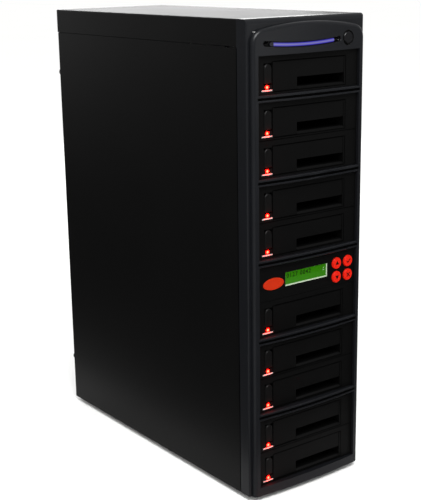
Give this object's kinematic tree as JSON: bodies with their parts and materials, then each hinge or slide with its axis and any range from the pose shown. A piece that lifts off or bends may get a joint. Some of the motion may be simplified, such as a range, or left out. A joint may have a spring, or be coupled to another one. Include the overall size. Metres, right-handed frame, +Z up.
{
  "type": "hard drive duplicator",
  "caption": "Free-standing tower that copies hard drives: trayless racks with flap doors and eject levers, a control panel with display and keys, a lit bar and rear fans.",
  "frame": {"origin": "centre of the bounding box, on the floor under the feet", "axes": "+X to the right as seen from the front, +Y to the rear, +Z up"},
  "size_m": [0.172, 0.4226, 0.559],
  "materials": {
    "bezel_plastic": "satin",
    "rack_plastic": "matte",
    "case_metal": "satin",
    "inner_steel": "satin",
    "supply_shell": "satin",
    "black_plastic": "satin",
    "button_plastic": "gloss",
    "lamp_red": "gloss",
    "bar_blue": "gloss",
    "key_orange": "gloss",
    "display_green": "gloss",
    "board_green": "satin",
    "foot_rubber": "matte",
    "screw_metal": "satin"
  },
  "bodies": {
    "case": {"front_bezel": "bezel_plastic", "rack_frame_01": "rack_plastic", "rack_frame_02": "rack_plastic", "rack_frame_03": "rack_plastic", "rack_frame_04": "rack_plastic", "rack_frame_05": "rack_plastic", "rack_frame_06": "rack_plastic", "rack_frame_07": "rack_plastic", "rack_frame_08": "rack_plastic", "rack_frame_09": "rack_plastic", "rack_frame_10": "rack_plastic", "control_panel": "rack_plastic", "top_cover": "case_metal", "left_side_panel": "case_metal", "right_side_panel": "case_metal", "bottom_pan": "case_metal", "rear_panel": "case_metal", "drive_cage": "inner_steel", "control_tray": "inner_steel", "power_supply": "supply_shell", "power_inlet": "black_plastic", "fan_frames": "black_plastic", "power_switch": "black_plastic", "status_lamps": "lamp_red", "light_bar": "bar_blue", "display_glass": "display_green", "backplane_boards": "board_green", "panel_board": "board_green", "controller_board": "board_green", "feet": "foot_rubber", "thumb_screws": "screw_metal"},
    "drive_door_01": {"drive_door_01": "rack_plastic"},
    "drive_door_02": {"drive_door_02": "rack_plastic"},
    "drive_door_03": {"drive_door_03": "rack_plastic"},
    "drive_door_04": {"drive_door_04": "rack_plastic"},
    "drive_door_05": {"drive_door_05": "rack_plastic"},
    "drive_door_06": {"drive_door_06": "rack_plastic"},
    "drive_door_07": {"drive_door_07": "rack_plastic"},
    "drive_door_08": {"drive_door_08": "rack_plastic"},
    "drive_door_09": {"drive_door_09": "rack_plastic"},
    "drive_door_10": {"drive_door_10": "rack_plastic"},
    "eject_lever_01": {"eject_lever_01": "rack_plastic"},
    "eject_lever_02": {"eject_lever_02": "rack_plastic"},
    "eject_lever_03": {"eject_lever_03": "rack_plastic"},
    "eject_lever_04": {"eject_lever_04": "rack_plastic"},
    "eject_lever_05": {"eject_lever_05": "rack_plastic"},
    "eject_lever_06": {"eject_lever_06": "rack_plastic"},
    "eject_lever_07": {"eject_lever_07": "rack_plastic"},
    "eject_lever_08": {"eject_lever_08": "rack_plastic"},
    "eject_lever_09": {"eject_lever_09": "rack_plastic"},
    "eject_lever_10": {"eject_lever_10": "rack_plastic"},
    "key_up": {"key_up": "key_orange"},
    "key_enter": {"key_enter": "key_orange"},
    "key_down": {"key_down": "key_orange"},
    "key_escape": {"key_escape": "key_orange"},
    "power_button": {"power_button": "button_plastic"},
    "rocker_switch": {"rocker_switch": "black_plastic"},
    "fan_rotor_lower": {"fan_rotor_lower": "black_plastic"},
    "fan_rotor_upper": {"fan_rotor_upper": "black_plastic"}
  },
  "joints": [
    {"name": "door_01_hinge", "type": "hinge", "parent": "case", "child": "drive_door_01", "pos_m": [0.0019, -0.20325, 0.511], "axis": [1, 0, 0], "range_deg": [0, 90], "stiffness_Nm_per_rad": 0.004, "springref_deg": -28.65},
    {"name": "lever_01_hinge", "type": "hinge", "parent": "case", "child": "eject_lever_01", "pos_m": [-0.05865, -0.20295, 0.491], "axis": [1, 0, 0], "range_deg": [0, 60], "stiffness_Nm_per_rad": 0.002, "springref_deg": -17.19},
    {"name": "door_02_hinge", "type": "hinge", "parent": "case", "child": "drive_door_02", "pos_m": [0.0019, -0.20325, 0.4608], "axis": [1, 0, 0], "range_deg": [0, 90], "stiffness_Nm_per_rad": 0.004, "springref_deg": -28.65},
    {"name": "lever_02_hinge", "type": "hinge", "parent": "case", "child": "eject_lever_02", "pos_m": [-0.05865, -0.20295, 0.4408], "axis": [1, 0, 0], "range_deg": [0, 60], "stiffness_Nm_per_rad": 0.002, "springref_deg": -17.19},
    {"name": "door_03_hinge", "type": "hinge", "parent": "case", "child": "drive_door_03", "pos_m": [0.0019, -0.20325, 0.4188], "axis": [1, 0, 0], "range_deg": [0, 90], "stiffness_Nm_per_rad": 0.004, "springref_deg": -28.65},
    {"name": "lever_03_hinge", "type": "hinge", "parent": "case", "child": "eject_lever_03", "pos_m": [-0.05865, -0.20295, 0.3988], "axis": [1, 0, 0], "range_deg": [0, 60], "stiffness_Nm_per_rad": 0.002, "springref_deg": -17.19},
    {"name": "door_04_hinge", "type": "hinge", "parent": "case", "child": "drive_door_04", "pos_m": [0.0019, -0.20325, 0.3686], "axis": [1, 0, 0], "range_deg": [0, 90], "stiffness_Nm_per_rad": 0.004, "springref_deg": -28.65},
    {"name": "lever_04_hinge", "type": "hinge", "parent": "case", "child": "eject_lever_04", "pos_m": [-0.05865, -0.20295, 0.3486], "axis": [1, 0, 0], "range_deg": [0, 60], "stiffness_Nm_per_rad": 0.002, "springref_deg": -17.19},
    {"name": "door_05_hinge", "type": "hinge", "parent": "case", "child": "drive_door_05", "pos_m": [0.0019, -0.20325, 0.3266], "axis": [1, 0, 0], "range_deg": [0, 90], "stiffness_Nm_per_rad": 0.004, "springref_deg": -28.65},
    {"name": "lever_05_hinge", "type": "hinge", "parent": "case", "child": "eject_lever_05", "pos_m": [-0.05865, -0.20295, 0.3066], "axis": [1, 0, 0], "range_deg": [0, 60], "stiffness_Nm_per_rad": 0.002, "springref_deg": -17.19},
    {"name": "door_06_hinge", "type": "hinge", "parent": "case", "child": "drive_door_06", "pos_m": [0.0019, -0.20325, 0.2344], "axis": [1, 0, 0], "range_deg": [0, 90], "stiffness_Nm_per_rad": 0.004, "springref_deg": -28.65},
    {"name": "lever_06_hinge", "type": "hinge", "parent": "case", "child": "eject_lever_06", "pos_m": [-0.05865, -0.20295, 0.2144], "axis": [1, 0, 0], "range_deg": [0, 60], "stiffness_Nm_per_rad": 0.002, "springref_deg": -17.19},
    {"name": "door_07_hinge", "type": "hinge", "parent": "case", "child": "drive_door_07", "pos_m": [0.0019, -0.20325, 0.1842], "axis": [1, 0, 0], "range_deg": [0, 90], "stiffness_Nm_per_rad": 0.004, "springref_deg": -28.65},
    {"name": "lever_07_hinge", "type": "hinge", "parent": "case", "child": "eject_lever_07", "pos_m": [-0.05865, -0.20295, 0.1642], "axis": [1, 0, 0], "range_deg": [0, 60], "stiffness_Nm_per_rad": 0.002, "springref_deg": -17.19},
    {"name": "door_08_hinge", "type": "hinge", "parent": "case", "child": "drive_door_08", "pos_m": [0.0019, -0.20325, 0.1422], "axis": [1, 0, 0], "range_deg": [0, 90], "stiffness_Nm_per_rad": 0.004, "springref_deg": -28.65},
    {"name": "lever_08_hinge", "type": "hinge", "parent": "case", "child": "eject_lever_08", "pos_m": [-0.05865, -0.20295, 0.1222], "axis": [1, 0, 0], "range_deg": [0, 60], "stiffness_Nm_per_rad": 0.002, "springref_deg": -17.19},
    {"name": "door_09_hinge", "type": "hinge", "parent": "case", "child": "drive_door_09", "pos_m": [0.0019, -0.20325, 0.092], "axis": [1, 0, 0], "range_deg": [0, 90], "stiffness_Nm_per_rad": 0.004, "springref_deg": -28.65},
    {"name": "lever_09_hinge", "type": "hinge", "parent": "case", "child": "eject_lever_09", "pos_m": [-0.05865, -0.20295, 0.072], "axis": [1, 0, 0], "range_deg": [0, 60], "stiffness_Nm_per_rad": 0.002, "springref_deg": -17.19},
    {"name": "door_10_hinge", "type": "hinge", "parent": "case", "child": "drive_door_10", "pos_m": [0.0019, -0.20325, 0.05], "axis": [1, 0, 0], "range_deg": [0, 90], "stiffness_Nm_per_rad": 0.004, "springref_deg": -28.65},
    {"name": "lever_10_hinge", "type": "hinge", "parent": "case", "child": "eject_lever_10", "pos_m": [-0.05865, -0.20295, 0.03], "axis": [1, 0, 0], "range_deg": [0, 60], "stiffness_Nm_per_rad": 0.002, "springref_deg": -17.19},
    {"name": "power_button_press", "type": "slide", "parent": "case", "child": "power_button", "axis": [0, 1, 0], "range_m": [0, 0.0015], "stiffness_N_per_m": 1000, "springref_m": -0.001},
    {"name": "key_up_press", "type": "slide", "parent": "case", "child": "key_up", "axis": [0, 1, 0], "range_m": [0, 0.0008], "stiffness_N_per_m": 1500, "springref_m": -0.0005},
    {"name": "key_enter_press", "type": "slide", "parent": "case", "child": "key_enter", "axis": [0, 1, 0], "range_m": [0, 0.0008], "stiffness_N_per_m": 1500, "springref_m": -0.0005},
    {"name": "key_down_press", "type": "slide", "parent": "case", "child": "key_down", "axis": [0, 1, 0], "range_m": [0, 0.0008], "stiffness_N_per_m": 1500, "springref_m": -0.0005},
    {"name": "key_escape_press", "type": "slide", "parent": "case", "child": "key_escape", "axis": [0, 1, 0], "range_m": [0, 0.0008], "stiffness_N_per_m": 1500, "springref_m": -0.0005},
    {"name": "rocker_tilt", "type": "hinge", "parent": "case", "child": "rocker_switch", "pos_m": [-0.055, 0.20275, 0.069], "axis": [1, 0, 0], "range_deg": [0, 20]},
    {"name": "fan_lower_spin", "type": "hinge", "parent": "case", "child": "fan_rotor_lower", "pos_m": [0, 0.19175, 0.178], "axis": [0, 1, 0], "continuous": true},
    {"name": "fan_upper_spin", "type": "hinge", "parent": "case", "child": "fan_rotor_upper", "pos_m": [0, 0.19175, 0.318], "axis": [0, 1, 0], "continuous": true}
  ]
}
